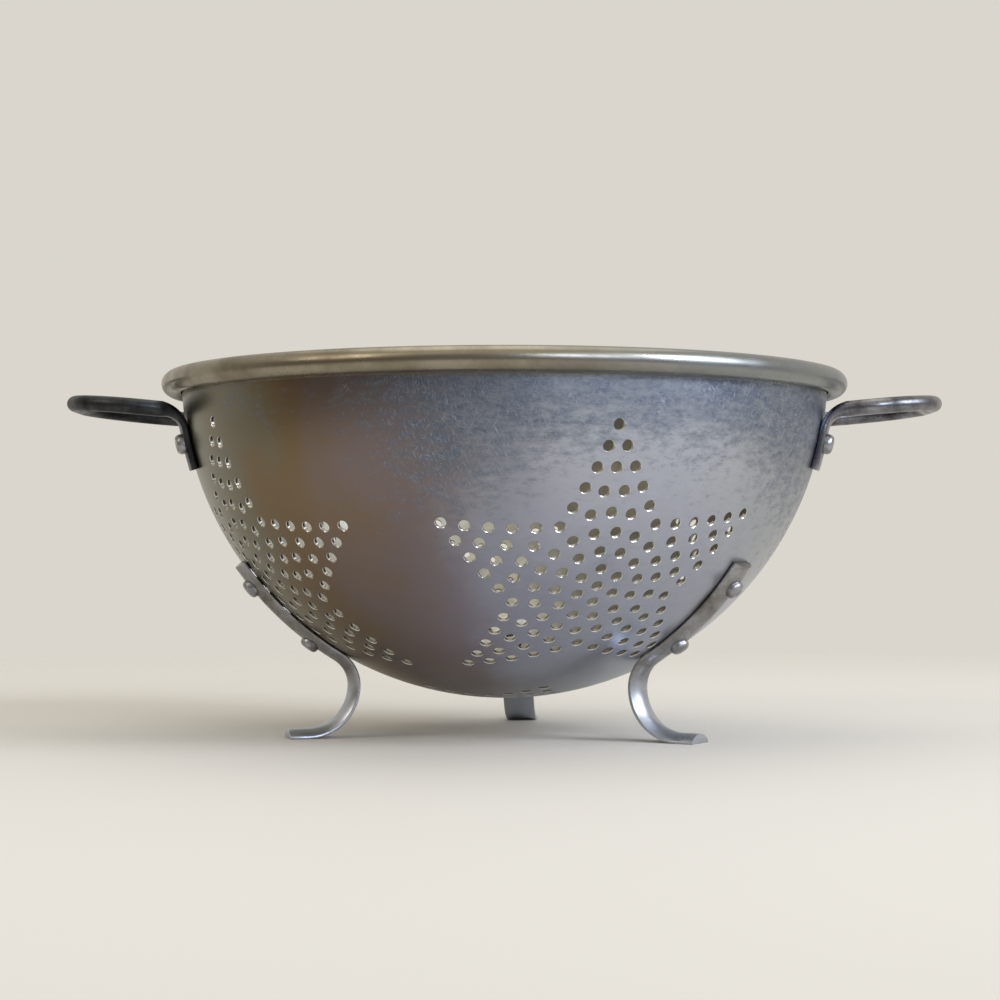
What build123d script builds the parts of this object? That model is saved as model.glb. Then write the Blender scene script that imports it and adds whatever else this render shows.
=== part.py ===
from build123d import *
from math import asin, atan2, copysign, cos, degrees, radians, sin, sqrt, tau
import os

# Footed colander in sheet aluminium: a half-round bowl with a rolled rim, pierced with stars,
# two bar handles and three strap legs, all riveted on. Millimetres, +Z up.
# The table is at zero height, under the middle of the bowl. The handles point along X.
# A bearing is counted from the front, -Y, towards +X. A drop is counted down from level.

# Bowl and rolled rim
bowl_radius = 125.4
wall = 1.2
bowl_lift = 14.3
rim_bead_radius = 4.45
rim_height = 135.45
curl_turn = 309
curl_stations = 9

# Drain holes, with few sides each so that the model stays light. Side stars: bearing, drop, tilt
hole_diameter = 4.0
hole_sides = 4
hole_web = 1.5
ring_pitch = 7.6
row_sag_share = 0.025
side_stars = ((19.7, 40.1, -2.5), (108.0, 40.1, -2.5), (199.7, 40.1, -2.5), (297.0, 38.0, 8.0))
side_star_reach = 62.0
side_star_steps = 5
side_star_ring_turns = (0, -7, 7)
foot_star_bearing = 23
foot_star_reach = 38.0
foot_star_steps = 3
foot_star_ring_turns = (0, 15)

# Legs: a half-oval bar, flat side to the bowl and crown outward
leg_bearings = {"leg_front_right": 58.0, "leg_back": 174.3, "leg_front_left": 284.5}
leg_width = 12.7
leg_thickness = 3.8
leg_lip = 1.0
crown_facets = 6
leg_top_drop = 35.3
leg_waist_radius = 58.3
leg_heel_bend = 20.0
leg_toe_flat = 7.2
leg_rivet_drops = {"upper": 39.7, "lower": 53.5}

# Handles: a round bar bent to a loop, both ends flattened to tabs
bar_diameter = 6.0
handle_reach = 169.5
handle_rise = 5
handle_corner_bend = 26.0
corner_limit_share = 0.9
arm_below_rim = 10.45
elbow_bend = 9.5
elbow_stations = 4
tab_bearing = 13.9
tab_width = 10.0
tab_thickness = 2.7
tab_edge_round = 1.0
bar_corners_per_quarter = 3
tab_foot_below_rim = 32.95

# Rivets: a thick head outside and a flatter one inside, many-sided to stay light
shank_diameter = 4.0
tab_rivet_below_rim = 22.95
tab_head_diameter = 7.7
tab_head_height = 2.9
leg_head_diameter = 7.4
leg_head_height = 2.8
inner_head_diameter = 7.0
inner_head_height = 1.3
rivet_sides = 12
head_edge_share = 0.4

# Clearances
seat_gap = 0.03
shank_gap = 0.05
overrun = 1.0

# Worked out from the sizes above
bowl_inside = bowl_radius - wall
bowl_centre = bowl_lift + bowl_radius
strap_radius = bowl_radius + seat_gap
arm_height = rim_height - arm_below_rim
tab_foot_height = rim_height - tab_foot_below_rim
tab_rivet_height = rim_height - tab_rivet_below_rim
shank_hole = shank_diameter / 2 + shank_gap
full_corner = 1 / cos(tau / 2 / rivet_sides)
fifth = 360 / 5


def outward(bearing, drop):
    """Unit vector from the bowl's centre."""
    level = cos(radians(drop))
    return Vector(level * sin(radians(bearing)), -level * cos(radians(bearing)), -sin(radians(drop)))


def along_rim(bearing):
    """Unit vector along the rim, towards a greater bearing."""
    return Vector(cos(radians(bearing)), sin(radians(bearing)), 0)


def wall_plane(distance, bearing, drop):
    """Plane square to the wall at a distance from the bowl's centre, with its Y axis uphill."""
    out = outward(bearing, drop)
    return Plane(origin=Vector(0, 0, bowl_centre) + out * distance, x_dir=along_rim(bearing), z_dir=out)


def meridian(bearing):
    """Upright plane through the bowl's axis. X runs outward and Y runs up."""
    return Plane(origin=(0, 0, 0), x_dir=outward(bearing, 0), z_dir=-along_rim(bearing))


# Rivet places: name, bearing, drop
tab_drop = degrees(asin((bowl_centre - tab_rivet_height) / bowl_radius))
handle_bearings = {"handle_right": 90, "handle_left": 270}
leg_rivets = [
    (f"rivet_{leg}_{place}", bearing, drop)
    for leg, bearing in leg_bearings.items()
    for place, drop in leg_rivet_drops.items()
]
tab_rivets = [
    (f"rivet_{handle}_{side}", bearing + turn, tab_drop)
    for handle, bearing in handle_bearings.items()
    for side, turn in (("near", -tab_bearing), ("far", tab_bearing))
]


def star_places(reach, steps, ring_turns):
    """Holes of one star, as distance and turn from its middle: rings of 6, 12, 18, then five arms."""
    places = [(0, 0)]
    for ring, turn in enumerate(ring_turns, start=1):
        places += [(ring * ring_pitch, turn + 60 * hole / ring) for hole in range(6 * ring)]
    notch = (len(ring_turns) + 1) * ring_pitch
    tip = Vector(0, reach)
    valley = Vector(0, notch).rotate(Axis.Z, -fifth / 2)
    for number in range(5):
        arm = number * fifth
        places += [(notch, arm + fifth / 2), (reach, arm)]
        for step in range(1, steps):
            edge = tip + (valley - tip) * (step / steps)
            turn = degrees(atan2(edge.X, edge.Y))
            places += [(edge.length, arm - turn), (edge.length, arm + turn)]
            depth = edge.Y * (1 - row_sag_share * (step - 2))
            spread = degrees(ring_pitch / depth)
            places += [(depth, arm + spread * (k - step / 2 + 1)) for k in range(step - 1)]
    return places


def hole_planes(bearing, drop, tilt, places):
    """Planes of a star's holes, just inside the wall, but none where a rivet goes."""
    middle = outward(bearing, drop)
    across = along_rim(bearing)
    uphill = middle.cross(across)
    planes = []
    for distance, turn in places:
        swing = radians(turn + tilt)
        arc = distance / bowl_radius
        out = middle * cos(arc) + (uphill * cos(swing) + across * sin(swing)) * sin(arc)
        clear = shank_hole + hole_diameter / 2 + hole_web
        gaps = [(out - outward(b, d)).length * bowl_radius for _, b, d in leg_rivets + tab_rivets]
        if min(gaps) > clear:
            origin = Vector(0, 0, bowl_centre) + out * (bowl_inside - overrun)
            planes.append(Plane(origin=origin, x_dir=across, z_dir=out))
    return planes


# Bowl: one sheet from the bottom to the end of the curl
rim_centre_distance = bowl_inside + rim_bead_radius
rim_drop = degrees(asin((bowl_centre - rim_height) / rim_centre_distance))
rim_radius = rim_centre_distance * cos(radians(rim_drop))


def curl_corners(radius):
    """Corners of the rolled rim's section, from the wall over the top and round underneath."""
    angles = [radians(180 - rim_drop - curl_turn * k / curl_stations) for k in range(curl_stations + 1)]
    return [(rim_radius + radius * cos(angle), rim_height + radius * sin(angle)) for angle in angles]


with BuildPart() as bowl:
    with BuildSketch(Plane.XZ):
        with BuildLine():
            inside = CenterArc((0, bowl_centre), bowl_inside, -90, 90 - rim_drop)
            outside = CenterArc((0, bowl_centre), bowl_radius, -90, 90 - rim_drop)
            over = Polyline(*curl_corners(rim_bead_radius))
            under = Polyline(*curl_corners(rim_bead_radius - wall))
            Line(inside @ 0, outside @ 0)
            Line(over @ 1, under @ 1)
        make_face()
    revolve(axis=Axis.Z)
    side_star = star_places(side_star_reach, side_star_steps, side_star_ring_turns)
    foot_star = star_places(foot_star_reach, foot_star_steps, foot_star_ring_turns)
    drains = hole_planes(foot_star_bearing, 90, 0, foot_star)
    for bearing, drop, tilt in side_stars:
        drains += hole_planes(bearing, drop, tilt, side_star)
    # Each many-sided hole is as open as a round one
    hole_corner = hole_diameter / 2 * sqrt(tau / hole_sides / sin(tau / hole_sides))
    with BuildSketch(*drains):
        RegularPolygon(hole_corner, hole_sides)
    extrude(amount=wall + 2 * overrun, mode=Mode.SUBTRACT)
    with BuildSketch(*[wall_plane(bowl_inside - overrun, b, d) for _, b, d in leg_rivets + tab_rivets]):
        RegularPolygon(shank_hole * full_corner, rivet_sides)
    extrude(amount=wall + 2 * overrun, mode=Mode.SUBTRACT)
bowl.part.label = "bowl"
pieces = {"bowl": bowl.part}

# Legs: the flat side follows the bowl, leaves it in a knee, and turns out again to the foot
fall = bowl_centre - leg_heel_bend
knee_bend = (leg_waist_radius**2 + fall**2 - strap_radius**2) / (2 * (strap_radius - leg_waist_radius))
knee_drop = degrees(atan2(fall, leg_waist_radius + knee_bend))
crown_rise = leg_thickness - leg_lip
crown_bend = ((leg_width / 2) ** 2 + crown_rise**2) / (2 * crown_rise)
crown_half = degrees(asin(leg_width / 2 / crown_bend))
crown_angles = [radians(crown_half * (2 * k / crown_facets - 1)) for k in range(crown_facets + 1)]
crown = [(crown_bend * sin(a), crown_bend - leg_thickness - crown_bend * cos(a)) for a in crown_angles]
head_bite = crown_bend - sqrt(crown_bend**2 - (leg_head_diameter / 2) ** 2)
for name, bearing in leg_bearings.items():
    with BuildPart() as leg:
        with BuildLine(meridian(bearing)) as route:
            CenterArc((0, bowl_centre), strap_radius, -leg_top_drop, leg_top_drop - knee_drop)
            CenterArc(
                (leg_waist_radius + knee_bend, leg_heel_bend), knee_bend, 180 - knee_drop, knee_drop
            )
            heel = CenterArc((leg_waist_radius + leg_heel_bend, leg_heel_bend), leg_heel_bend, 180, 90)
            Line(heel @ 1, (leg_waist_radius + leg_heel_bend + leg_toe_flat, 0))
        top = wall_plane(strap_radius, bearing, leg_top_drop)
        with BuildSketch(Plane(origin=top.origin, x_dir=top.x_dir, z_dir=top.y_dir)):
            Polygon((leg_width / 2, 0), (-leg_width / 2, 0), *crown, align=None)
        sweep()
        for drop in leg_rivet_drops.values():
            with BuildSketch(wall_plane(strap_radius - overrun, bearing, drop)):
                RegularPolygon(shank_hole * full_corner, rivet_sides)
            extrude(amount=leg_thickness + overrun, mode=Mode.SUBTRACT)
            with BuildSketch(wall_plane(strap_radius + leg_thickness - head_bite, bearing, drop)):
                RegularPolygon((leg_head_diameter / 2 + shank_gap) * full_corner, rivet_sides)
            extrude(amount=head_bite + overrun, mode=Mode.SUBTRACT)
    leg.part.label = name
    pieces[name] = leg.part

# Handles: tabs on the bowl, elbows outward, and a loop in a plane that rises a little to its tip
bar_radius = bar_diameter / 2
tab_middle = strap_radius + tab_thickness / 2
arm_rise = degrees(atan2(sin(radians(handle_rise)) * cos(radians(tab_bearing)), cos(radians(handle_rise))))
elbow_height = arm_height - elbow_bend * cos(radians(arm_rise))
elbow_drop = degrees(asin((bowl_centre - elbow_height) / (tab_middle + elbow_bend)))
elbow_radius = (tab_middle + elbow_bend) * cos(radians(elbow_drop))
elbow_turn = 90 - elbow_drop - arm_rise
tab_foot_drop = degrees(asin((bowl_centre - tab_foot_height) / strap_radius))
arm_radius = elbow_radius - elbow_bend * sin(radians(arm_rise))
arm_inset = arm_radius * cos(radians(tab_bearing))
arm_spread = arm_radius * sin(radians(tab_bearing))
splay = atan2(sin(radians(tab_bearing)), cos(radians(tab_bearing)) / cos(radians(handle_rise)))
loop_reach = (handle_reach - bar_radius - arm_inset) / cos(radians(handle_rise))
corner_bend = min(handle_corner_bend, loop_reach / (1 + sin(splay)) * corner_limit_share)
stub = (loop_reach - corner_bend * (1 + sin(splay))) / cos(splay)
corner = (stub * cos(splay), arm_spread + stub * sin(splay))
corner_middle = (loop_reach - corner_bend, corner[1] - corner_bend * cos(splay))


def bar_section(share):
    """Corners of the handle's section, from the flat tab at zero to the full bar at one."""
    corners = []
    for quarter in range(4):
        middle = radians(quarter * 90 + 45)
        tab_x = copysign(tab_width / 2 - tab_edge_round, cos(middle))
        tab_y = copysign(tab_thickness / 2 - tab_edge_round, sin(middle))
        for part in range(bar_corners_per_quarter):
            bend = radians(90 * (quarter + part / (bar_corners_per_quarter - 1)))
            turn = radians(90 * (quarter + (part + 1 / 2) / bar_corners_per_quarter))
            flat = (tab_x + tab_edge_round * cos(bend), tab_y + tab_edge_round * sin(bend))
            full = (bar_corner * cos(turn), bar_corner * sin(turn))
            wide = flat[0] + (full[0] - flat[0]) * share
            thick = flat[1] + (full[1] - flat[1]) * share**2
            corners.append((wide, thick))
    return corners


bar_corner = bar_radius / cos(tau / 8 / bar_corners_per_quarter)
for name, bearing in handle_bearings.items():
    with BuildPart() as handle:
        out = outward(bearing, 0)
        rise = radians(handle_rise)
        level = Plane(
            origin=out * arm_inset + Vector(0, 0, arm_height),
            x_dir=out * cos(rise) + Vector(0, 0, sin(rise)),
            z_dir=Vector(0, 0, cos(rise)) - out * sin(rise),
        )
        with BuildLine(level):
            near = Line((0, -arm_spread), (corner[0], -corner[1]))
            CenterArc(
                (corner_middle[0], -corner_middle[1]),
                corner_bend,
                -90 - degrees(splay),
                90 + degrees(splay),
            )
            Line((loop_reach, -corner_middle[1]), (loop_reach, corner_middle[1]))
            CenterArc(corner_middle, corner_bend, 0, 90 + degrees(splay))
            Line(corner, (0, arm_spread))
        with BuildSketch(Plane(origin=near @ 0, x_dir=(near % 0).cross(level.z_dir), z_dir=near % 0)):
            Polygon(*bar_section(1), align=None)
        sweep()
        for turn in (-tab_bearing, tab_bearing):
            upright = meridian(bearing + turn)
            with BuildLine(upright):
                tab = CenterArc((0, bowl_centre), tab_middle, -tab_foot_drop, tab_foot_drop - elbow_drop)
            with BuildSketch(Plane(origin=tab @ 0, x_dir=upright.z_dir, z_dir=tab % 0)):
                Polygon(*bar_section(0), align=None)
            sweep()
            # The flat end swells into the bar as it goes round the elbow
            for station in range(elbow_stations + 1):
                share = station / elbow_stations
                angle = radians(180 - elbow_drop - elbow_turn * share)
                spot = upright.from_local_coords(
                    (elbow_radius + elbow_bend * cos(angle), elbow_height + elbow_bend * sin(angle))
                )
                ahead = upright.x_dir * sin(angle) - upright.y_dir * cos(angle)
                across = upright.z_dir if station < elbow_stations else ahead.cross(level.z_dir)
                with BuildSketch(Plane(origin=spot, x_dir=across, z_dir=ahead)):
                    Polygon(*bar_section(share), align=None)
            loft(ruled=True)
            with BuildSketch(wall_plane(strap_radius - overrun, bearing + turn, tab_drop)):
                RegularPolygon(shank_hole * full_corner, rivet_sides)
            extrude(amount=tab_thickness + 2 * overrun, mode=Mode.SUBTRACT)
    handle.part.label = name
    pieces[name] = handle.part

# Rivets: the shank through the bowl and what it carries, a head at each end
inside_seat = sqrt(bowl_inside**2 - (inner_head_diameter / 2) ** 2) - seat_gap
for name, bearing, drop in leg_rivets + tab_rivets:
    on_leg = "leg" in name
    head_radius = (leg_head_diameter if on_leg else tab_head_diameter) / 2
    head_height = leg_head_height if on_leg else tab_head_height
    outer_seat = strap_radius + seat_gap + (leg_thickness - head_bite if on_leg else tab_thickness)
    with BuildPart() as rivet:
        with BuildSketch(wall_plane(outer_seat, bearing, drop)):
            RegularPolygon(head_radius * full_corner, rivet_sides)
        extrude(amount=head_height)
        with BuildSketch(wall_plane(inside_seat, bearing, drop)):
            RegularPolygon(inner_head_diameter / 2 * full_corner, rivet_sides)
        extrude(amount=-inner_head_height)
        axis = Axis((0, 0, bowl_centre), outward(bearing, drop))
        ends = rivet.faces().filter_by(axis).sort_by(axis)
        chamfer(ends[-1].edges(), head_height * head_edge_share)
        ends = rivet.faces().filter_by(axis).sort_by(axis)
        chamfer(ends[0].edges(), inner_head_height * head_edge_share)
        with BuildSketch(wall_plane(inside_seat, bearing, drop)):
            RegularPolygon(shank_diameter / 2 * full_corner, rivet_sides)
        extrude(amount=outer_seat - inside_seat)
    rivet.part.label = name
    pieces[name] = rivet.part

os.makedirs("parts", exist_ok=True)
for name, piece in pieces.items():
    export_step(piece, f"parts/{name}.step")
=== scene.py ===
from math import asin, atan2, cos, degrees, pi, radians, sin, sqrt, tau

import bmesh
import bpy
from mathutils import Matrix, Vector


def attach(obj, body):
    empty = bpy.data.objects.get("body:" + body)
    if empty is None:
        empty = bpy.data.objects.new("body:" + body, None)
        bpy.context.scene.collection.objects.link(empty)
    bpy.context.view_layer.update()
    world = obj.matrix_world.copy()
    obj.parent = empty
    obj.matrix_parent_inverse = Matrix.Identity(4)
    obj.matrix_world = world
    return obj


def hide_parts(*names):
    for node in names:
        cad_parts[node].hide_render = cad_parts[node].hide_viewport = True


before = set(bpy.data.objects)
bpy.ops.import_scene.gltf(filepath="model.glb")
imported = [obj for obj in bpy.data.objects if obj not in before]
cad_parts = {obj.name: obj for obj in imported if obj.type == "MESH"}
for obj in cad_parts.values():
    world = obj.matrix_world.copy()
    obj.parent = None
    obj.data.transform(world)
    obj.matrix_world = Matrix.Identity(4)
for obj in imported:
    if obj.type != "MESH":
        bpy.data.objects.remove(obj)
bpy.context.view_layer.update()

# %% [markdown]
# # An old footed colander
# This lesson dresses a CAD model of a colander for its picture. The bowl is drawn aluminium sheet with a
# rolled rim, pierced with stars of round holes. Two bar handles and three strap legs are riveted on.
# The CAD solids carry the true sizes, without the soft edges and bright lips of used metal. Each finer
# piece made here takes the place of one solid and is built from the same sizes.
#
# Blender works in metres and this object is drawn in millimetres, so the first helper turns one into the
# other. A bearing is an angle round the bowl, counted from the front towards the right handle. A drop is an
# angle down from level, seen from the bowl's middle.

MM = 0.001


def mm(*values):
    """Millimetres to metres, as one number or as a point."""
    return values[0] * MM if len(values) == 1 else Vector(values) * MM


bpy.ops.object.select_all(action="DESELECT")
print("CAD nodes:", len(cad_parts))

# %% Sizes of the real object, in millimetres
BOWL_RADIUS = 125.4
WALL = 1.2
BOWL_INSIDE = BOWL_RADIUS - WALL
BOWL_CENTRE = 139.7
RIM_BEAD_RADIUS = 4.45
RIM_HEIGHT = 135.45
CURL_TURN = 309
RIM_DROP = degrees(asin((BOWL_CENTRE - RIM_HEIGHT) / (BOWL_INSIDE + RIM_BEAD_RADIUS)))
RIM_RADIUS = (BOWL_INSIDE + RIM_BEAD_RADIUS) * cos(radians(RIM_DROP))
MAIN_STAR = (19.7, 40.1)
SEAT_GAP = 0.03
STRAP_RADIUS = BOWL_RADIUS + SEAT_GAP
LEG_BEARINGS = {"leg_front_right": 58.0, "leg_back": 174.3, "leg_front_left": 284.5}
LEG_RIVET_DROPS = {"upper": 39.7, "lower": 53.5}
HANDLE_BEARINGS = {"handle_right": 90, "handle_left": 270}
TAB_BEARING = 13.9
TAB_RIVET_HEIGHT = 112.5
TAB_DROP = degrees(asin((BOWL_CENTRE - TAB_RIVET_HEIGHT) / BOWL_RADIUS))
print("rim across:", round(2 * (RIM_RADIUS + RIM_BEAD_RADIUS), 1), "mm")


def outward(bearing, drop):
    """Unit vector from the bowl's centre."""
    level = cos(radians(drop))
    return Vector((level * sin(radians(bearing)), -level * cos(radians(bearing)), -sin(radians(drop))))


def along_rim(bearing):
    """Unit vector along the rim, towards a greater bearing."""
    return Vector((cos(radians(bearing)), sin(radians(bearing)), 0))


def standing(out, across):
    """Matrix that puts a piece's origin at the ball's middle and turns its Z outward and its X across."""
    turn = Matrix((across, out.cross(across), out)).transposed().to_4x4()
    return Matrix.Translation(mm(0, 0, BOWL_CENTRE)) @ turn


# %% [markdown]
# ## Camera
# The photograph was taken from in front, a little above the foot of the bowl and looking slightly up, so
# the rim's front edge hides the inside. The place and lens were worked out from the rim's outline and the
# three feet. A long lens from far off keeps the bowl's outline close to a true half circle.

# %% Set up the camera
CAMERA_PLACE = (-1.72, -860, 68.9)
CAMERA_TILT = 91.5
SENSOR_WIDTH = 36
LENS = 79.02
bpy.ops.object.camera_add(location=mm(*CAMERA_PLACE), rotation=(radians(CAMERA_TILT), 0, 0))
camera = bpy.context.object
camera.name = "photo_camera"
camera.data.sensor_width = SENSOR_WIDTH
camera.data.lens = LENS
camera.data.clip_end = 20
bpy.context.scene.camera = camera
print("camera at", [round(value, 3) for value in camera.location])

# %% [markdown]
# ## Materials
# Everything here is aluminium, and what differs is how each piece was made, what time did to it, and some
# painted light and shade.
# Aluminium mirrors its surroundings, so its colour is pale and its look comes from roughness: drawn and
# scoured sheet is satin, a rubbed edge is bright, and grey oxide is darker and duller. Colours are written
# as they look on a screen, and one function turns them to the linear values that Blender works in.

# %% Colour and node helpers
SMOOTH = {"interpolation_type": "SMOOTHSTEP"}


def colour(code):
    """An sRGB hex colour as linear red, green, blue and alpha."""
    parts = [int(code[k : k + 2], 16) / 255 for k in (0, 2, 4)]
    return [p / 12.92 if p <= 0.04045 else ((p + 0.055) / 1.055) ** 2.4 for p in parts] + [1]


def node(tree, kind, settings={}, **inputs):
    """Adds a node, sets its fields, and fills or links its inputs. A node stands for its first output."""
    made = tree.nodes.new("ShaderNode" + kind)
    for field, value in settings.items():
        setattr(made, field, value)
    for name, value in inputs.items():
        socket = made.inputs[int(name[1:])] if name[1:].isdigit() else made.inputs[name.replace("_", " ")]
        if isinstance(value, bpy.types.Node):
            value = value.outputs[0]
        if isinstance(value, bpy.types.NodeSocket):
            tree.links.new(value, socket)
        else:
            socket.default_value = value
    return made


def aluminium(name, roughness, base):
    """A metal material with constant starting values, and its tree and shader."""
    material = bpy.data.materials.new(name)
    material.use_nodes = True
    tree = material.node_tree
    shader = tree.nodes["Principled BSDF"]
    shader.inputs["Metallic"].default_value = 1
    shader.inputs["Roughness"].default_value = roughness
    shader.inputs["Base Color"].default_value = colour(base)
    return material, tree, shader


print("mid grey 808080 is", round(colour("808080")[0], 3), "in linear values")

# %% [markdown]
# ### Drawn sheet of the bowl
# The bowl was drawn from sheet, and years of scouring left short scratches in all directions. A scratch is
# noise squeezed thin in one direction. Four squeezed noises, each turned its own way, cross each other.
# Real scratches are about 0.05 mm wide. That is too fine to show, so they are drawn near 0.3 mm.

# %% Lay out the scratches
bowl_metal, tree, shader = aluminium("drawn_scoured_aluminium", 0.34, "A5A7AC")
place = node(tree, "TexCoord").outputs["Object"]
SCRATCH_WIDTH = 0.3
SCRATCH_LENGTH = 3.2
SCRATCH_SIZE = mm(SCRATCH_LENGTH, SCRATCH_LENGTH, SCRATCH_WIDTH)
SCRATCH_TURNS = ((0.3, 0.2, 0.2), (0.9, 1.1, 0.4), (-0.7, -0.8, 1.0), (0.5, 1.6, -0.6))
crossed = None
for turn in SCRATCH_TURNS:
    squeeze = node(
        tree, "Mapping", {"vector_type": "TEXTURE"}, Vector=place, Rotation=turn, Scale=SCRATCH_SIZE
    )
    lines = node(tree, "TexNoise", Vector=squeeze, Scale=1, Detail=2, Roughness=0.5)
    if crossed is None:
        crossed = lines
    else:
        crossed = node(tree, "Math", {"operation": "MAXIMUM"}, _0=crossed, _1=lines)
scratch = node(tree, "MapRange", Value=crossed, From_Min=0.60, From_Max=0.84)
print("scratches are", SCRATCH_WIDTH, "by", SCRATCH_LENGTH, "mm")

# %% [markdown]
# The colour of the sheet drifts over the bowl. Part of it is a thin film that heat and hard water left, and
# part is painted light: a painted reflection of the dim room darkens and warms the left, and painted light
# of the right window brightens the right. It is olive on the far left, then golden brown, mauve, blue-grey
# and silver, and low on the bowl each colour lies a little further right, which is painted shade on the
# lower bowl. The drift is the place on the bowl plus some wide clouds, and a colour ramp turns it to a
# colour. Round the large star the sheet turns lighter and lilac, and painted shade makes the far right a
# plain darker grey.

# %% Let the colour of the sheet drift
FILM_AND_PAINTED_LIGHT_COLOURS = ((0.05, "75705E"), (0.2, "7A684E"), (0.36, "7B6E6C"), (0.55, "94979F"), (0.8, "B3B7BE"))
axes = node(tree, "SeparateXYZ", Vector=place)
along_x = axes.outputs["X"]
along_z = axes.outputs["Z"]
clouds = node(tree, "TexNoise", Vector=place, Scale=1 / mm(48), Detail=5, Roughness=0.55)
# Painted light: the colour runs from dark on the left to bright on the right.
side = node(tree, "MapRange", Value=along_x, From_Min=mm(-105), From_Max=mm(80), To_Min=-0.25, To_Max=0.75)
# Painted shade: low on the bowl the colour falls back towards the dark end.
low = node(tree, "MapRange", Value=along_z, From_Min=mm(30), From_Max=mm(120), To_Min=-0.10, To_Max=0.06)
side = node(tree, "Math", {"operation": "ADD"}, _0=side, _1=low)
film_and_painted_light = node(tree, "Math", {"operation": "MULTIPLY_ADD"}, _0=clouds, _1=0.5, _2=side)
ramp = node(tree, "ValToRGB", Fac=film_and_painted_light)
ramp.color_ramp.interpolation = "EASE"
elements = ramp.color_ramp.elements
for position, code in FILM_AND_PAINTED_LIGHT_COLOURS:
    elements.new(position).color = colour(code)
elements.remove(elements[-1])
elements.remove(elements[0])
star_middle = mm(0, 0, BOWL_CENTRE) + outward(*MAIN_STAR) * mm(BOWL_RADIUS)
from_star = node(tree, "VectorMath", {"operation": "DISTANCE"}, _0=place, _1=star_middle)
lilac = node(tree, "MapRange", SMOOTH, Value=from_star.outputs["Value"], From_Min=mm(75), From_Max=mm(35))
tinge = node(tree, "Math", {"operation": "MULTIPLY"}, _0=lilac, _1=0.32)
sheet = node(tree, "MixRGB", Fac=tinge, Color1=ramp, Color2=colour("A6A9C6"))
# Painted shade: the far right of the bowl is darkened to a plain grey.
painted_shade_right = node(tree, "MapRange", Value=along_x, From_Min=mm(80), From_Max=mm(122), To_Max=0.7)
sheet = node(tree, "MixRGB", Fac=painted_shade_right, Color1=sheet, Color2=colour("777B80"))
print("colours in the drift:", len(elements))

# %% [markdown]
# A dull blue-grey bloom of oxide lies on the sheet. It is a fine mottle, drawn out sideways by wiping, and a
# slope in height, which is painted shade under the rim, makes it dense at the rim and rare lower down. It
# stops on the left and thins round the large star. The scratches show where they cut through the bloom to
# bright metal.
# Bloom is rougher than bare sheet, so it also sets the roughness.

# %% Lay the oxide over the sheet
wiping = node(tree, "Mapping", {"vector_type": "TEXTURE"}, Vector=place, Scale=(1.7, 1.7, 0.75))
mottle = node(tree, "TexNoise", Vector=wiping, Scale=1 / mm(3.6), Detail=8, Roughness=0.76)
grained = node(tree, "MapRange", Value=mottle, From_Min=0.30, From_Max=0.70, To_Max=0.16)
sheet = node(tree, "MixRGB", Fac=grained, Color1=sheet, Color2=colour("6A6C72"))
# Painted shade: this slope in height darkens the sheet under the rim.
painted_shade_under_rim = node(
    tree, "MapRange", Value=along_z, From_Min=mm(50), From_Max=mm(124), To_Min=-0.17, To_Max=0.13
)
bloom_and_shade = node(tree, "Math", {"operation": "ADD"}, _0=mottle, _1=painted_shade_under_rim)
bloom_and_shade = node(tree, "Math", {"operation": "MULTIPLY_ADD"}, _0=clouds, _1=-0.5, _2=bloom_and_shade)
bloom_and_shade = node(tree, "Math", {"operation": "MULTIPLY_ADD"}, _0=lilac, _1=-0.12, _2=bloom_and_shade)
left = node(tree, "MapRange", Value=along_x, From_Min=mm(-75), From_Max=mm(-22), To_Min=-0.24, To_Max=0)
bloom_and_shade = node(tree, "Math", {"operation": "ADD"}, _0=bloom_and_shade, _1=left)
# The bloom is real oxide mottle with painted shade under the rim.
oxide_and_shade = node(tree, "MapRange", Value=bloom_and_shade, From_Min=0.17, From_Max=0.48)
sheet = node(tree, "MixRGB", Fac=oxide_and_shade, Color1=sheet, Color2=colour("697180"))
shine = node(tree, "Math", {"operation": "MULTIPLY"}, _0=scratch, _1=oxide_and_shade)
sheet = node(tree, "MixRGB", Fac=shine, Color1=sheet, Color2=colour("BEC5D1"))
tree.links.new(sheet.outputs[0], shader.inputs["Base Color"])
dull = node(tree, "MapRange", Value=oxide_and_shade, To_Min=0.29, To_Max=0.44)
wear = node(tree, "Math", {"operation": "MULTIPLY_ADD"}, _0=scratch, _1=0.06, _2=dull)
tree.links.new(wear.outputs[0], shader.inputs["Roughness"])
grain = node(tree, "Bump", Strength=0.10, Distance=mm(0.05), Height=crossed)
tree.links.new(grain.outputs[0], shader.inputs["Normal"])
print("nodes in the sheet:", len(tree.nodes))

# %% [markdown]
# ### Punched, rolled and bent metal
# The punch left the walls of the holes smooth and pressed a bright lip round each. The rolled bead is rubbed
# by hands and cloths, so it is smoother than the bowl. It is golden on the left, and a painted cool
# reflection greys it towards the right. Inside, the sheet is dull, and painted shade darkens it on the
# right.
# The right handle is gunmetal, and the left one is the same metal painted almost black with shade. The legs
# are brown-grey, and a painted blue-white highlight makes their feet pale. Worn metal wanders between two
# states in patches, and painted light and shade turn some of it to a third colour along an axis.

# %% Make the other metals


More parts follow.
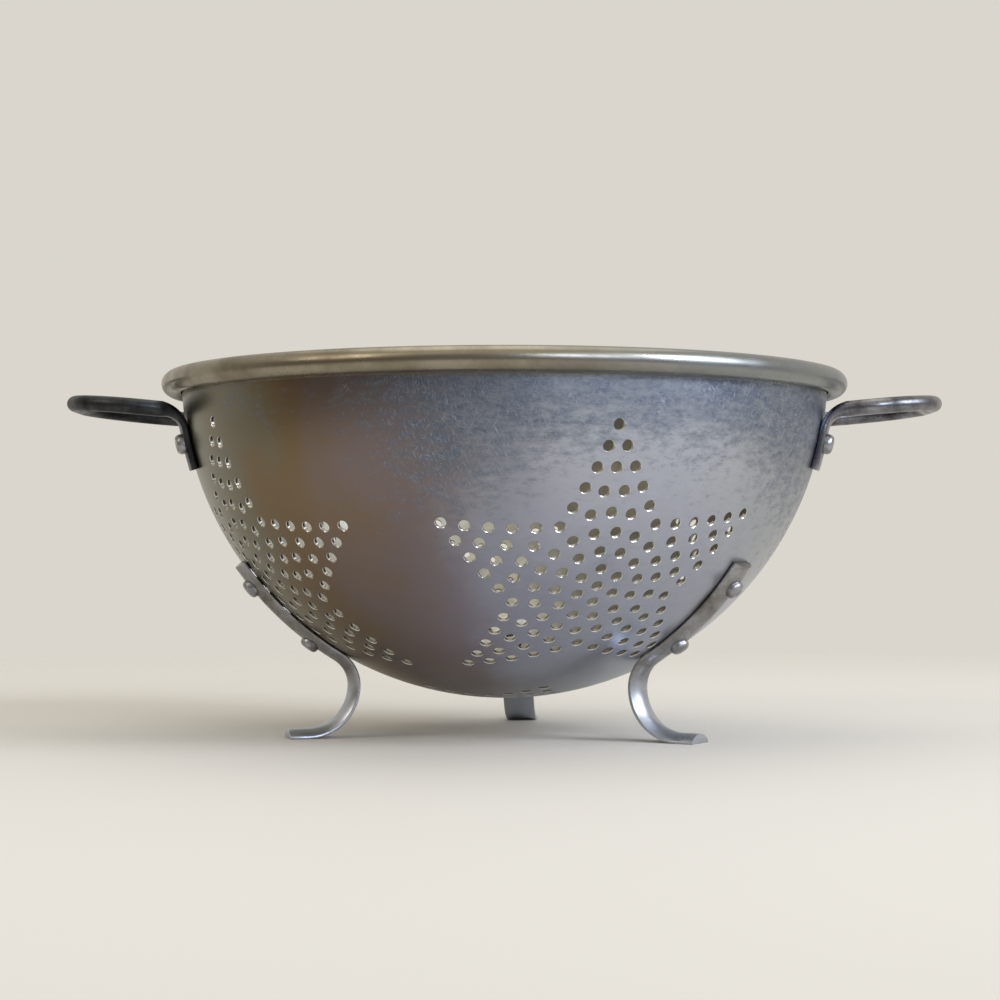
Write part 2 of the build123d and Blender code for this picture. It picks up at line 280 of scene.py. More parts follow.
def worn_with_painted_light(name, dark, light, rough, patch, painted_light_ramp=None):
    """Aluminium in patches of a size in mm, which painted light and shade may turn to a third colour along
    an axis.
    """
    material, tree, shader = aluminium(name, rough[0], light)
    place = node(tree, "TexCoord").outputs["Object"]
    noise = node(tree, "TexNoise", Vector=place, Scale=1 / mm(patch), Detail=7, Roughness=0.65)
    state = node(tree, "MapRange", Value=noise, From_Min=0.35, From_Max=0.65)
    mixed = node(tree, "MixRGB", Fac=state, Color1=colour(light), Color2=colour(dark))
    # Painted light and shade: a third colour laid on along one axis.
    if painted_light_ramp:
        axis, start, end, code = painted_light_ramp
        reach = node(tree, "SeparateXYZ", Vector=place).outputs[axis]
        painted_light_share = node(
            tree, "MapRange", SMOOTH, Value=reach, From_Min=mm(start), From_Max=mm(end), To_Max=0.8
        )
        mixed = node(tree, "MixRGB", Fac=painted_light_share, Color1=mixed, Color2=colour(code))
    tree.links.new(mixed.outputs[0], shader.inputs["Base Color"])
    roughness = node(tree, "MapRange", Value=state, To_Min=rough[0], To_Max=rough[1])
    tree.links.new(roughness.outputs[0], shader.inputs["Roughness"])
    fine = node(tree, "TexNoise", Vector=place, Scale=1 / mm(1.2), Detail=3)
    bump = node(tree, "Bump", Strength=0.12, Distance=mm(0.08), Height=fine)
    tree.links.new(bump.outputs[0], shader.inputs["Normal"])
    return material


hole_metal = aluminium("punch_sheared_aluminium", 0.30, "8F8B82")[0]
lip_metal = aluminium("punch_burnished_aluminium", 0.22, "D6D4CE")[0]
# Painted reflection: the bead turns cool grey towards the right.
bead_metal = worn_with_painted_light(
    "rubbed_rolled_aluminium_painted_reflection", "7A7260", "989080", (0.24, 0.38), 18, ("X", -10, 90, "8A8F91")
)
# Painted shade: the inside turns dark towards the right.
inner_metal = worn_with_painted_light(
    "dull_inner_aluminium_painted_shade", "8C8A80", "B2B0A4", (0.36, 0.50), 14, ("X", -10, 40, "48463F")
)
# Painted highlight: the feet turn pale blue-white towards the floor.
leg_metal = worn_with_painted_light(
    "satin_half_oval_aluminium_painted_highlight", "77726B", "A6A6A8", (0.26, 0.44), 10, ("Z", 32, 6, "BEC4CE")
)
# Painted shade: the left handle is a darker copy of the right handle's metal.
left_handle_metal = worn_with_painted_light("painted_shade_bent_aluminium", "28292B", "494B4D", (0.32, 0.52), 9)
right_handle_metal = worn_with_painted_light("gunmetal_bent_aluminium", "4D4B4D", "8E8E92", (0.22, 0.40), 9)
rivet_metal = worn_with_painted_light("dull_headed_aluminium", "7F7E7E", "AFAFB2", (0.28, 0.48), 4)
print("materials:", len(bpy.data.materials))

# %% [markdown]
# ## The bowl
# A bowl like this is drawn or spun from one round sheet, and its edge is rolled outward over itself into a
# bead. The sheet could be a sphere cut in half, but then the bead would be a second piece. Here the bowl
# starts as the profile of its inner side: a quarter circle, and the curl added by spinning its top end.
# Spinning the profile round the bowl's middle makes the skin, and a modifier gives it the sheet's thickness.
#
# The spin operator turns against the right-hand rule, so most of its angles here carry a minus.

# %% Draw the profile


def select(mesh_object, wanted):
    """In edit mode, selects exactly the vertices that pass a test, and what lies between them."""
    mesh = bmesh.from_edit_mesh(mesh_object.data)
    bpy.ops.mesh.select_all(action="DESELECT")
    for vertex in mesh.verts:
        vertex.select = wanted(vertex.co)
    mesh.select_flush(True)
    bmesh.update_edit_mesh(mesh_object.data)


PROFILE_STEPS = 176
CURL_STEPS = 20
towards_rim = Vector((cos(radians(RIM_DROP)), 0, -sin(radians(RIM_DROP))))
above_rim = Vector((sin(radians(RIM_DROP)), 0, cos(radians(RIM_DROP))))
rim_joint = towards_rim * mm(BOWL_INSIDE) + mm(0, 0, BOWL_CENTRE)
bpy.ops.mesh.primitive_circle_add(
    vertices=PROFILE_STEPS, radius=mm(BOWL_INSIDE), location=mm(0, 0, BOWL_CENTRE), rotation=(pi / 2, 0, 0)
)
bowl = bpy.context.object
bowl.name = "pierced_bowl"
bpy.ops.object.transform_apply()
bpy.ops.object.mode_set(mode="EDIT")
bpy.ops.mesh.select_all(action="SELECT")
bpy.ops.mesh.bisect(plane_co=(0, 0, 0), plane_no=(1, 0, 0), clear_inner=True)
bpy.ops.mesh.select_all(action="SELECT")
bpy.ops.mesh.bisect(plane_co=mm(0, 0, BOWL_CENTRE), plane_no=above_rim, clear_outer=True)
select(bowl, lambda co: (co - rim_joint).length < mm(0.2))
bpy.ops.mesh.spin(
    steps=CURL_STEPS, angle=-radians(CURL_TURN), center=mm(RIM_RADIUS, 0, RIM_HEIGHT), axis=(0, 1, 0)
)
print("corners of the profile:", len(bmesh.from_edit_mesh(bowl.data).verts))

# %% Spin the profile to a skin
bpy.ops.mesh.select_all(action="SELECT")
bpy.ops.mesh.spin(steps=PROFILE_STEPS, angle=tau, center=(0, 0, 0), axis=(0, 0, 1))
bpy.ops.mesh.select_all(action="SELECT")
bpy.ops.mesh.remove_doubles(threshold=mm(0.01))
bpy.ops.mesh.normals_make_consistent(inside=False)
bpy.ops.object.mode_set(mode="OBJECT")
lowest = min(bowl.data.polygons, key=lambda face: face.center.z)
if lowest.normal.z > 0:
    bowl.data.flip_normals()
top = max(vertex.co.z for vertex in bowl.data.vertices) / MM
print("skin:", len(bowl.data.polygons), "faces, top at", round(top, 2), "mm")

# %% Give the skin the thickness of the sheet
bpy.ops.object.modifier_add(type="SOLIDIFY")
sheet_modifier = bowl.modifiers[-1]
sheet_modifier.thickness = mm(WALL)
sheet_modifier.offset = 1
bpy.ops.object.modifier_apply(modifier=sheet_modifier.name)
bottom = min(vertex.co.z for vertex in bowl.data.vertices) / MM
print("lowest point:", round(bottom, 2), "mm")

# %% [markdown]
# ### The stars of holes
# The holes were punched from outside, in stars with five arms: one hole in the middle, rings of six, twelve
# and eighteen, five holes in the notches, and arms whose rows grow shorter to the tip. The bottom star is
# smaller and lacks the third ring. The same rule made the CAD holes. Each star is laid out on the ball from
# its own middle, by distance and turn.

# %% Write the rule of a star
PITCH = 7.6
ROW_SAG = 0.025
ARM_TURN = 72


def star(reach, steps, ring_turns):
    """Places of one star's holes, as distance in mm and turn in degrees from its middle."""
    places = [(0, 0)]
    for ring, turn in enumerate(ring_turns, start=1):
        places += [(ring * PITCH, turn + 60 * hole / ring) for hole in range(6 * ring)]
    notch = (len(ring_turns) + 1) * PITCH
    notch_x = notch * sin(radians(ARM_TURN / 2))
    notch_y = notch * cos(radians(ARM_TURN / 2))
    for arm in range(0, 360, ARM_TURN):
        places += [(notch, arm + ARM_TURN / 2), (reach, arm)]
        for step in range(1, steps):
            x = notch_x * step / steps
            y = reach + (notch_y - reach) * step / steps
            edge = sqrt(x * x + y * y)
            turn = degrees(atan2(x, y))
            places += [(edge, arm - turn), (edge, arm + turn)]
            depth = y * (1 - ROW_SAG * (step - 2))
            spread = degrees(PITCH / depth)
            places += [(depth, arm + spread * (hole - step / 2 + 1)) for hole in range(step - 1)]
    return places


side_plan = star(62, 5, (0, -7, 7))
bottom_plan = star(38, 3, (0, 15))
print("holes in a side star:", len(side_plan), "and in the bottom star:", len(bottom_plan))

# %% List the rivets, because no hole comes near one
leg_rivets = []
for leg_name, bearing in LEG_BEARINGS.items():
    for height, drop in LEG_RIVET_DROPS.items():
        leg_rivets.append((f"rivet_{leg_name}_{height}", bearing, drop))
tab_rivets = []
for handle_name, bearing in HANDLE_BEARINGS.items():
    for end, turn in (("near", -TAB_BEARING), ("far", TAB_BEARING)):
        tab_rivets.append((f"rivet_{handle_name}_{end}", bearing + turn, TAB_DROP))
print("rivets:", len(leg_rivets), "in the legs and", len(tab_rivets), "in the handles")

# %% Lay the stars out on the ball
# A star is given by the bearing and drop of its middle, and by its tilt.
SIDE_STARS = ((*MAIN_STAR, -2.5), (108, 40.1, -2.5), (199.7, 40.1, -2.5), (297, 38, 8))
BOTTOM_STAR = (23, 90, 0)
RIVET_CLEARANCE = 5.55
stars = [(*BOTTOM_STAR, bottom_plan)]
stars += [(*star_place, side_plan) for star_place in SIDE_STARS]
rivet_ways = [outward(bearing, drop) for name, bearing, drop in leg_rivets + tab_rivets]
holes = []
for bearing, drop, tilt, places in stars:
    middle = outward(bearing, drop)
    across = along_rim(bearing)
    uphill = middle.cross(across)
    for distance, turn in places:
        swing = radians(turn + tilt)
        arc = distance / BOWL_RADIUS
        out = middle * cos(arc) + (uphill * cos(swing) + across * sin(swing)) * sin(arc)
        if min((out - way).length * BOWL_RADIUS for way in rivet_ways) > RIVET_CLEARANCE:
            holes.append(out)
print("holes:", len(holes))

# %% [markdown]
# ### Punching
# The punch is modelled once, as a round bar that flares near its end, so that it leaves a hole 4 mm wide
# with a small bright chamfer outside. A copy goes to every hole, and one boolean cuts them all. The punch
# has eighteen sides, since five hundred copies add up.

# %% Model the punch
HOLE_RADIUS = 2.0
FLARE = 0.22
FLARE_HEIGHT = FLARE * 1.5
PUNCH_SIDES = 18
PUNCH_DEPTH = 1
bpy.ops.mesh.primitive_cylinder_add(
    vertices=PUNCH_SIDES,
    radius=mm(HOLE_RADIUS),
    depth=mm(WALL + PUNCH_DEPTH - FLARE),
    end_fill_type="NGON",
    location=mm(0, 0, (WALL - FLARE - PUNCH_DEPTH) / 2 + BOWL_INSIDE),
)
punch = bpy.context.object
bpy.ops.object.transform_apply()
bpy.ops.object.mode_set(mode="EDIT")
select(punch, lambda co: co.z > mm(BOWL_RADIUS - FLARE - 0.1))
bpy.ops.mesh.extrude_region_move(TRANSFORM_OT_translate={"value": mm(0, 0, FLARE_HEIGHT)})
wide = (HOLE_RADIUS + FLARE_HEIGHT) / HOLE_RADIUS
bpy.ops.transform.resize(value=(wide, wide, 1), center_override=mm(0, 0, BOWL_RADIUS))
bpy.ops.object.mode_set(mode="OBJECT")
print("punch:", len(punch.data.vertices), "corners")

# %% Copy the punch to every hole and cut


def copy_of(piece, name):
    """A copy of a piece, with a mesh of its own."""
    copy = piece.copy()
    copy.data = piece.data.copy()
    copy.name = name
    bpy.context.collection.objects.link(copy)
    return copy


def join(parts):
    """Joins parts to one piece, and makes that the only one selected."""
    bpy.ops.object.select_all(action="DESELECT")
    for part in parts:
        part.select_set(True)
    bpy.context.view_layer.objects.active = parts[0]
    bpy.ops.object.join()
    return parts[0]


punches = []
for number, out in enumerate(holes):
    across = Vector((0, 0, 1)).cross(out).normalized() if abs(out.z) < 0.999 else Vector((1, 0, 0))
    copy = copy_of(punch, f"punch_{number}")
    copy.matrix_world = standing(out, across)
    punches.append(copy)
bpy.data.objects.remove(punch)
punches = join(punches)
bpy.ops.object.select_all(action="DESELECT")
bpy.context.view_layer.objects.active = bowl
bowl.select_set(True)
bpy.ops.object.modifier_add(type="BOOLEAN")
cut = bowl.modifiers[-1]
cut.object = punches
cut.operation = "DIFFERENCE"
cut.solver = "MANIFOLD"
bpy.ops.object.modifier_apply(modifier=cut.name)
bpy.data.objects.remove(punches)
bowl.data.calc_loop_triangles()
print("bowl:", len(bowl.data.polygons), "faces,", len(bowl.data.loop_triangles), "triangles")

# %% Give each face its finish and the smooth light of the ball
# After a boolean, faces round a hole are uneven, and smooth shading would wobble there. The sheet is part of
# a ball, so each corner of its faces is told to face straight out from the ball's middle. The others keep
# the light of their own shape. A face is known by its place and by how straight it faces out.
SHEET, BEAD, HOLE, INSIDE, LIP = range(5)
SHEET_STRAIGHT = 0.93
LIP_STRAIGHT = 0.4
bowl.data.materials.clear()
for metal in (bowl_metal, bead_metal, hole_metal, inner_metal, lip_metal):
    bowl.data.materials.append(metal)
centre = mm(0, 0, BOWL_CENTRE)
facing = [Vector()] * len(bowl.data.loops)
for face in bowl.data.polygons:
    face.use_smooth = True
    beyond_rim = Vector(face.center[:2]).length - mm(RIM_RADIUS)
    from_bead = Vector((beyond_rim, face.center.z - mm(RIM_HEIGHT))).length
    straight = face.normal.dot((face.center - centre).normalized())
    if from_bead < mm(RIM_BEAD_RADIUS + 0.1):
        face.material_index = BEAD
    elif abs(straight) > SHEET_STRAIGHT:
        face.material_index = SHEET if straight > 0 else INSIDE
    else:
        face.material_index = LIP if straight > LIP_STRAIGHT else HOLE
    if face.material_index in (SHEET, INSIDE):
        for corner in face.loop_indices:
            out = bowl.data.vertices[bowl.data.loops[corner].vertex_index].co - centre
            facing[corner] = out.normalized() * (1 if straight > 0 else -1)
bpy.ops.object.shade_smooth_by_angle(angle=radians(35))
bowl.data.normals_split_custom_set(facing)
for number, metal in enumerate(bowl.data.materials):
    print(metal.name, "faces:", sum(face.material_index == number for face in bowl.data.polygons))

# %% [markdown]
# ## The legs
# Each leg is a strip of half-oval bar, flat on one side and crowned on the other. It was bent cold: it
# follows the bowl, leaves it in a tight knee, and turns out again in a heel that ends in a flat toe. A
# section spun round the middle of each bend does the same. The section starts as a disc of the crown's
# radius, and three cuts leave the half-oval.

# %% Cut the half-oval section
LEG_WIDTH = 12.7
LEG_THICKNESS = 3.8
LEG_LIP = 1.0
LEG_EDGE_ROUND = 0.35
CROWN_HEIGHT = LEG_THICKNESS - LEG_LIP
CROWN_BEND = ((LEG_WIDTH / 2) ** 2 + CROWN_HEIGHT**2) / (2 * CROWN_HEIGHT)
bpy.ops.object.select_all(action="DESELECT")
bpy.ops.mesh.primitive_circle_add(
    vertices=120,
    radius=mm(CROWN_BEND),
    fill_type="NGON",
    location=mm(STRAP_RADIUS + LEG_THICKNESS - CROWN_BEND, 0, BOWL_CENTRE),
)
leg = bpy.context.object
bpy.ops.object.transform_apply()
bpy.ops.object.mode_set(mode="EDIT")
for place, away in (
    ((STRAP_RADIUS, 0, 0), (-1, 0, 0)),
    ((0, LEG_WIDTH / 2, 0), (0, 1, 0)),
    ((0, -LEG_WIDTH / 2, 0), (0, -1, 0)),
):
    bpy.ops.mesh.select_all(action="SELECT")
    bpy.ops.mesh.bisect(plane_co=mm(*place), plane_no=away, clear_outer=True)
select(leg, lambda co: abs(co.y) > mm(LEG_WIDTH / 2 - 0.02))
bpy.ops.mesh.bevel(offset=mm(LEG_EDGE_ROUND), segments=3, affect="VERTICES")
bpy.ops.object.mode_set(mode="OBJECT")
print("section corners:", len(leg.data.vertices))

# %% Bend the leg
# A bend is given by its steps, its turn in degrees and its middle. The three bends are the part along the
# bowl, the knee and the heel.
LEG_TOP_DROP = 35.3
WAIST_RADIUS = 58.3
HEEL_BEND = 20.0
TOE_FLAT = 7.2
fall = BOWL_CENTRE - HEEL_BEND
KNEE_BEND = (WAIST_RADIUS**2 + fall**2 - STRAP_RADIUS**2) / (2 * (STRAP_RADIUS - WAIST_RADIUS))
KNEE_DROP = degrees(atan2(fall, WAIST_RADIUS + KNEE_BEND))
bpy.ops.object.mode_set(mode="EDIT")
bpy.ops.mesh.select_all(action="SELECT")
bpy.ops.transform.rotate(
    value=-radians(LEG_TOP_DROP),
    orient_axis="Y",
    orient_type="GLOBAL",
    center_override=mm(0, 0, BOWL_CENTRE),
)
for steps, turn, middle in (
    (12, KNEE_DROP - LEG_TOP_DROP, (0, 0, BOWL_CENTRE)),
    (14, -KNEE_DROP, (WAIST_RADIUS + KNEE_BEND, 0, HEEL_BEND)),
    (20, -90, (WAIST_RADIUS + HEEL_BEND, 0, HEEL_BEND)),
):
    bpy.ops.mesh.spin(steps=steps, angle=-radians(turn), center=mm(*middle), axis=(0, 1, 0))
bpy.ops.mesh.extrude_region_move(TRANSFORM_OT_translate={"value": mm(TOE_FLAT, 0, 0)})
bpy.ops.mesh.select_all(action="SELECT")
bpy.ops.mesh.normals_make_consistent(inside=False)
bpy.ops.object.mode_set(mode="OBJECT")
low = min(vertex.co.z for vertex in leg.data.vertices) / MM
far = max(vertex.co.x for vertex in leg.data.vertices) / MM
print("leg: lowest", round(low, 3), "mm, toe at", round(far, 2), "mm")

# %% Soften the sawn ends and stand the three legs


def soften(piece, width, segments, sharp, smooth):
    """Bevels the edges over one angle and smooths the light over edges below another, in degrees."""
    bpy.ops.object.modifier_add(type="BEVEL")
    bevel = piece.modifiers[-1]
    bevel.width = mm(width)
    bevel.segments = segments
    bevel.limit_method = "ANGLE"
    bevel.angle_limit = radians(sharp)
    bpy.ops.object.modifier_apply(modifier=bevel.name)
    bpy.ops.object.shade_smooth_by_angle(angle=radians(smooth))


soften(leg, width=0.25, segments=2, sharp=60, smooth=30)
leg.data.materials.append(leg_metal)
for name, bearing in LEG_BEARINGS.items():
    copy = copy_of(leg, "half_oval_" + name)
    copy.data.transform(Matrix.Rotation(radians(bearing - 90), 4, "Z"))
    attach(copy, "root")
    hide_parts(name)
bpy.data.objects.remove(leg)
print("legs stand at", list(LEG_BEARINGS.values()), "degrees")

# %% [markdown]
# ## The handles
# A handle is a bar 6 mm thick, bent to a loop that rises a little to its tip. Each end turns down along the
# bowl in a short elbow and is forged flat to a tab for its rivet. The section starts as the tab's flat
# shape, grows round through the elbow ring by ring, and is then spun round the loop's corner. A mirror
# makes the other half.

# %% Work out the handle's turning points
BAR_RADIUS = 3.0
HANDLE_REACH = 169.5
HANDLE_RISE = radians(5)
CORNER_BEND = 26.0
ARM_HEIGHT = 125.0
ELBOW_BEND = 9.5
TAB_THICKNESS = 2.7
TAB_FOOT_HEIGHT = 102.5
tab_turn = radians(TAB_BEARING)
tab_middle = STRAP_RADIUS + TAB_THICKNESS / 2
arm_rise = atan2(sin(HANDLE_RISE) * cos(tab_turn), cos(HANDLE_RISE))
elbow_height = ARM_HEIGHT - ELBOW_BEND * cos(arm_rise)
elbow_drop = asin((BOWL_CENTRE - elbow_height) / (tab_middle + ELBOW_BEND))
elbow_radius = (tab_middle + ELBOW_BEND) * cos(elbow_drop)
elbow_turn = pi / 2 - elbow_drop - arm_rise
tab_foot_drop = asin((BOWL_CENTRE - TAB_FOOT_HEIGHT) / STRAP_RADIUS)
arm_radius = elbow_radius - ELBOW_BEND * sin(arm_rise)
splay = atan2(sin(tab_turn), cos(tab_turn) / cos(HANDLE_RISE))
loop_reach = (HANDLE_REACH - BAR_RADIUS - arm_radius * cos(tab_turn)) / cos(HANDLE_RISE)
stub = (loop_reach - CORNER_BEND * (1 + sin(splay))) / cos(splay)
corner_y = arm_radius * sin(tab_turn) + stub * sin(splay) - CORNER_BEND * cos(splay)
outwards = Vector((cos(HANDLE_RISE), 0, sin(HANDLE_RISE)))
arm_foot = Vector((arm_radius * cos(tab_turn), 0, ARM_HEIGHT))
print("straight of each arm:", round(stub, 1), "mm, tip straight:", round(2 * corner_y, 1), "mm")

# %% Draw the section, from flat tab to round bar
# The thickness grows later than the width, as it does under a hammer.
TAB_WIDTH = 10.0
TAB_EDGE_ROUND = 1.0
THICKENING = 1.8
CORNER_POINTS = 6
flat_x = TAB_WIDTH / 2 - TAB_EDGE_ROUND
flat_y = TAB_THICKNESS / 2 - TAB_EDGE_ROUND


def section(share):
    """Corners of the handle's section, from the flat tab at zero to the round bar at one."""
    corners = []
    for quarter in range(4):
        side_x = 1 if quarter in (0, 3) else -1
        side_y = 1 if quarter in (0, 1) else -1
        for part in range(CORNER_POINTS):
            bend = radians(90 * (quarter + part / (CORNER_POINTS - 1)))
            turn = radians(90 * (quarter + (part + 0.5) / CORNER_POINTS))
            flat = Vector((side_x * flat_x, side_y * flat_y))
            flat += Vector((cos(bend), sin(bend))) * TAB_EDGE_ROUND
            full = Vector((cos(turn), sin(turn))) * BAR_RADIUS
            x = flat.x + (full.x - flat.x) * share
            y = flat.y + (full.y - flat.y) * share**THICKENING
            corners.append((x, y))
    return corners


print("corners of the section:", len(section(0)))

# %% Forge the tab and elbow
TAB_STEPS = 6
ELBOW_STEPS = 8
SIDEWAYS = Vector((0, 1, 0))


def set_ring(mesh_object, share, origin, thick):
    """Places the selected end of the bar as the section at a share of the way round the elbow."""
    mesh = bmesh.from_edit_mesh(mesh_object.data)
    mesh.verts.ensure_lookup_table()
    for vertex, (x, y) in zip([v for v in mesh.verts if v.select], section(share)):
        vertex.co = mm(*(origin + SIDEWAYS * x + thick * y))
    bmesh.update_edit_mesh(mesh_object.data)


bpy.ops.object.select_all(action="DESELECT")
bpy.ops.mesh.primitive_circle_add(vertices=4 * CORNER_POINTS, radius=mm(BAR_RADIUS), fill_type="NGON")
half = bpy.context.object
bpy.ops.object.mode_set(mode="EDIT")
for step in range(TAB_STEPS + ELBOW_STEPS + 1):
    if step:
        bpy.ops.mesh.extrude_region_move()
    if step <= TAB_STEPS:
        drop = tab_foot_drop + (elbow_drop - tab_foot_drop) * step / TAB_STEPS
        thick = Vector((cos(drop), 0, -sin(drop)))
        set_ring(half, 0, thick * tab_middle + Vector((0, 0, BOWL_CENTRE)), thick)
    else:
        share = (step - TAB_STEPS) / ELBOW_STEPS
        angle = pi - elbow_drop - elbow_turn * share
        thick = Vector((-cos(angle), 0, -sin(angle)))
        set_ring(half, share, Vector((elbow_radius, 0, elbow_height)) - thick * ELBOW_BEND, thick)
bpy.ops.mesh.select_all(action="SELECT")
bpy.ops.transform.rotate(value=-tab_turn, orient_axis="Z", orient_type="GLOBAL", center_override=(0, 0, 0))
bpy.ops.object.mode_set(mode="OBJECT")
low = min(vertex.co.z for vertex in half.data.vertices) / MM
high = max(vertex.co.z for vertex in half.data.vertices) / MM
print("tab foot at", round(low, 1), "mm, bar top at", round(high, 1), "mm")

# %% Run the arm and turn the corner
arm_way = (outwards * cos(splay) + SIDEWAYS * sin(splay)).normalized()
bpy.ops.object.mode_set(mode="EDIT")
mesh = bmesh.from_edit_mesh(half.data)
mesh.verts.ensure_lookup_table()
bpy.ops.mesh.select_all(action="DESELECT")
for vertex in mesh.verts[-4 * CORNER_POINTS :]:
    vertex.select = True
mesh.select_flush(True)
bmesh.update_edit_mesh(half.data)
bpy.ops.mesh.extrude_region_move(TRANSFORM_OT_translate={"value": arm_way * mm(stub)})
corner_middle = arm_foot + outwards * (loop_reach - CORNER_BEND) + Vector((0, corner_y, 0))
bpy.ops.mesh.spin(
    steps=18, angle=pi / 2 + splay, center=mm(*corner_middle), axis=(-sin(HANDLE_RISE), 0, cos(HANDLE_RISE))
)
bpy.ops.mesh.extrude_region_move(TRANSFORM_OT_translate={"value": mm(0, -corner_y, 0)})
bpy.ops.mesh.delete(type="ONLY_FACE")
bpy.ops.object.mode_set(mode="OBJECT")
far = max(vertex.co.x for vertex in half.data.vertices) / MM
wide = max(vertex.co.y for vertex in half.data.vertices) / MM
print("tip at", round(far, 2), "mm, widest at", round(wide, 2), "mm")

# %% Mirror the loop and set both handles
bpy.ops.object.modifier_add(type="MIRROR")
mirror = half.modifiers[-1]
mirror.use_axis = (False, True, False)
mirror.merge_threshold = mm(0.02)
bpy.ops.object.modifier_apply(modifier=mirror.name)
bpy.ops.object.mode_set(mode="EDIT")
bpy.ops.mesh.select_all(action="SELECT")
bpy.ops.mesh.normals_make_consistent(inside=False)
bpy.ops.object.mode_set(mode="OBJECT")
soften(half, width=0.4, segments=3, sharp=70, smooth=40)
for name, bearing in HANDLE_BEARINGS.items():
    copy = copy_of(half, "bar_" + name)
    copy.data.transform(Matrix.Rotation(radians(bearing - 90), 4, "Z"))
    copy.data.materials.append(left_handle_metal if name == "handle_left" else right_handle_metal)
    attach(copy, "root")
    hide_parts(name)
bpy.data.objects.remove(half)
print("handles made:", len(HANDLE_BEARINGS))

# %% [markdown]
# ## The rivets
# Each rivet is a thick button outside, a thinner one inside, and a shank between. The heads are short
# cylinders whose outer edge is bevelled round. One rivet is modelled for the legs and one for the tabs. A
# head on a leg is let down a little, because the crown of the bar falls away under it.

# %% Model the two kinds of rivet
LEG_HEAD = (3.7, 2.8)
TAB_HEAD = (3.85, 2.9)
HEAD_ROUND = 0.62
INNER_HEAD_RADIUS = 3.5
INNER_HEAD_HEIGHT = 1.3
INNER_HEAD_ROUND = 0.8
SHANK_RADIUS = 2.0
HEAD_BITE = CROWN_BEND - sqrt(CROWN_BEND**2 - LEG_HEAD[0] ** 2)
leg_seat = STRAP_RADIUS + LEG_THICKNESS - HEAD_BITE + SEAT_GAP
tab_seat = STRAP_RADIUS + TAB_THICKNESS + SEAT_GAP


def rivet(name, head_radius, head_height, seat):
    """A rivet standing on Z through the wall. Each part goes from a start to an end, which is rounded."""
    inside = sqrt(BOWL_INSIDE**2 - INNER_HEAD_RADIUS**2) - SEAT_GAP
    parts = []
    for radius, start, end, bulge in (
        (head_radius, seat, seat + head_height, head_height * HEAD_ROUND),
        (INNER_HEAD_RADIUS, inside, inside - INNER_HEAD_HEIGHT, INNER_HEAD_ROUND),
        (SHANK_RADIUS, inside, seat, 0),
    ):
        bpy.ops.mesh.primitive_cylinder_add(
            vertices=36, radius=mm(radius), depth=mm(abs(end - start)), location=mm(0, 0, (start + end) / 2)
        )
        part = bpy.context.object
        bpy.ops.object.transform_apply()
        if bulge:
            bpy.ops.object.mode_set(mode="EDIT")
            select(part, lambda co: abs(co.z - mm(end)) < mm(0.01))
            bpy.ops.mesh.bevel(offset=mm(bulge), segments=5, profile=0.5)
            bpy.ops.object.mode_set(mode="OBJECT")
        parts.append(part)
    made = join(parts)
    made.name = name
    bpy.ops.object.shade_smooth_by_angle(angle=radians(35))
    made.data.materials.append(rivet_metal)
    return made


bpy.ops.object.select_all(action="DESELECT")
leg_rivet = rivet("leg_rivet", *LEG_HEAD, leg_seat)
tab_rivet = rivet("tab_rivet", *TAB_HEAD, tab_seat)
print("corners of a rivet:", len(leg_rivet.data.vertices))

# %% Set the rivets and hand over the bowl
for name, bearing, drop in leg_rivets + tab_rivets:
    copy = copy_of(leg_rivet if "leg" in name else tab_rivet, "button_" + name)
    copy.data.transform(standing(outward(bearing, drop), along_rim(bearing)))
    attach(copy, "root")
    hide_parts(name)
bpy.data.objects.remove(leg_rivet)
bpy.data.objects.remove(tab_rivet)
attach(bowl, "root")
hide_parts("bowl")
print("rivets set:", len(leg_rivets + tab_rivets))

# %% [markdown]
# ## The studio
# Metal shows what stands round it, so the room matters as much as the lamps. The floor and the background
# are pale and plain. The room in front of the bowl is dimmer than behind it, as in the photograph, where
# the middle of the bowl mirrors a dim room. A large window stands on the right and a smaller one in front,
# and their reflections shape the ball. All lamps stand far off, so that the floor is lit evenly.

# %% Lay the floor
# The floor is real near the object, where it takes the shadow, and fades into the background 0.9 m away.
FADE_START = 0.3
FADE_END = 0.9
bpy.ops.object.select_all(action="DESELECT")
bpy.ops.mesh.primitive_circle_add(vertices=64, radius=3, fill_type="NGON")
floor = bpy.context.object
floor.name = "pale_floor"
floor_paint = bpy.data.materials.new("matt_pale_paint")
floor_paint.use_nodes = True
tree = floor_paint.node_tree
floor_shader = tree.nodes["Principled BSDF"]
floor_shader.inputs["Base Color"].default_value = colour("D2CDC3")
floor_shader.inputs["Roughness"].default_value = 0.7
away = node(tree, "VectorMath", {"operation": "LENGTH"}, _0=node(tree, "TexCoord").outputs["Object"])
fade = node(tree, "MapRange", SMOOTH, Value=away.outputs["Value"], From_Min=FADE_START, From_Max=FADE_END)
clear = node(tree, "BsdfTransparent")
blend = node(tree, "MixShader", _0=fade, _1=floor_shader, _2=clear)
tree.links.new(blend.outputs[0], tree.nodes["Material Output"].inputs["Surface"])
floor.data.materials.append(floor_paint)
print("floor:", round(floor.dimensions.x, 1), "m wide")

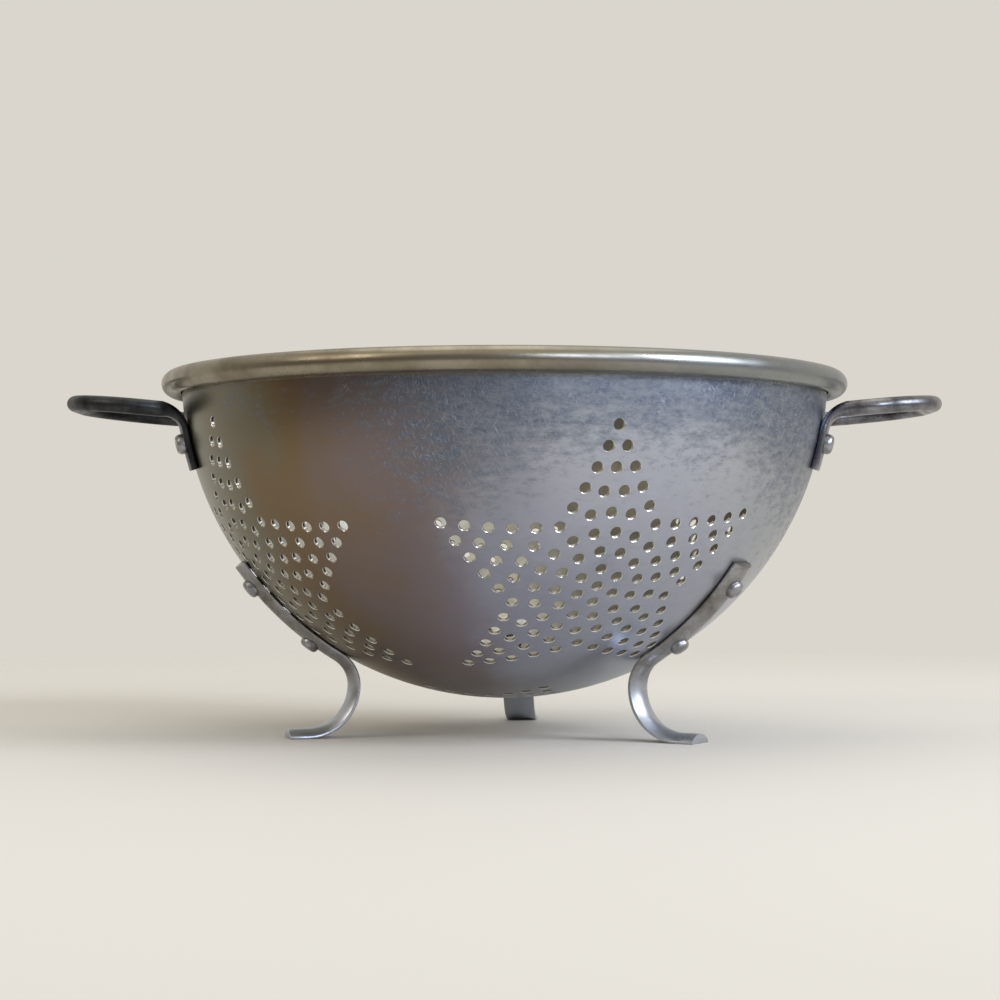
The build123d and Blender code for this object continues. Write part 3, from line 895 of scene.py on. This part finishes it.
# %% Colour the room
# The walls go from warm on the left to cool on the right, and the ceiling is pale. Diffuse light is even.
# The camera sees the plain background, and so does a mirrored ray that goes behind the object.
BACKGROUND = colour("DAD6CD")
world = bpy.data.worlds.new("studio_room")
bpy.context.scene.world = world
world.use_nodes = True
tree = world.node_tree
way = node(tree, "SeparateXYZ", Vector=node(tree, "TexCoord").outputs["Generated"])
side = node(tree, "MapRange", Value=way.outputs["X"], From_Min=-1, From_Max=1)
walls = node(tree, "MixRGB", Fac=side, Color1=colour("7E7668"), Color2=colour("9FA6B2"))
ceiling = node(tree, "MapRange", SMOOTH, Value=way.outputs["Z"], From_Min=0.3, From_Max=0.8)
room = node(tree, "MixRGB", Fac=ceiling, Color1=walls, Color2=colour("EAE5D6"))
rays = node(tree, "LightPath")
diffuse = rays.outputs["Is Diffuse Ray"]
glossy = rays.outputs["Is Glossy Ray"]
transmitted = rays.outputs["Is Transmission Ray"]
direct = rays.outputs["Is Camera Ray"]
even = node(tree, "MixRGB", Fac=diffuse, Color1=room, Color2=colour("CFCDC8"))
behind = node(tree, "MapRange", SMOOTH, Value=way.outputs["Y"], From_Min=-0.4, From_Max=0.6)
mirrored = node(tree, "Math", {"operation": "ADD"}, _0=glossy, _1=transmitted)
shown = node(tree, "Math", {"operation": "MULTIPLY_ADD"}, _0=mirrored, _1=behind, _2=direct)
seen = node(tree, "MixRGB", Fac=shown, Color1=even, Color2=BACKGROUND)
tree.links.new(seen.outputs[0], tree.nodes["Background"].inputs["Color"])
print("nodes in the room:", len(tree.nodes))

# %% Hang the lamps
# Each lamp has a place and a size in mm, a power in watts and a colour, and points at the bowl.
LAMPS = (
    ("window_right", (2400, -1120, 1392), 1440, 72, "E8F0FF"),
    ("lamp_left", (-2240, -1440, 1712), 1280, 13, "FFF1E0"),
    ("window_front", (1040, -2320, 1152), 960, 23, "DCE8FF"),
    ("lamp_above", (0, 480, 2512), 2240, 15, "FFFFFF"),
)
AIM = mm(0, 0, 80)
for name, place, size, power, hue in LAMPS:
    bpy.ops.object.light_add(type="AREA", location=mm(*place))
    lamp = bpy.context.object
    lamp.name = name
    lamp.data.size = mm(size)
    lamp.data.energy = power
    lamp.data.color = colour(hue)[:3]
    lamp.rotation_euler = (AIM - lamp.location).to_track_quat("-Z", "Y").to_euler()
bpy.context.scene.view_settings.view_transform = "Standard"
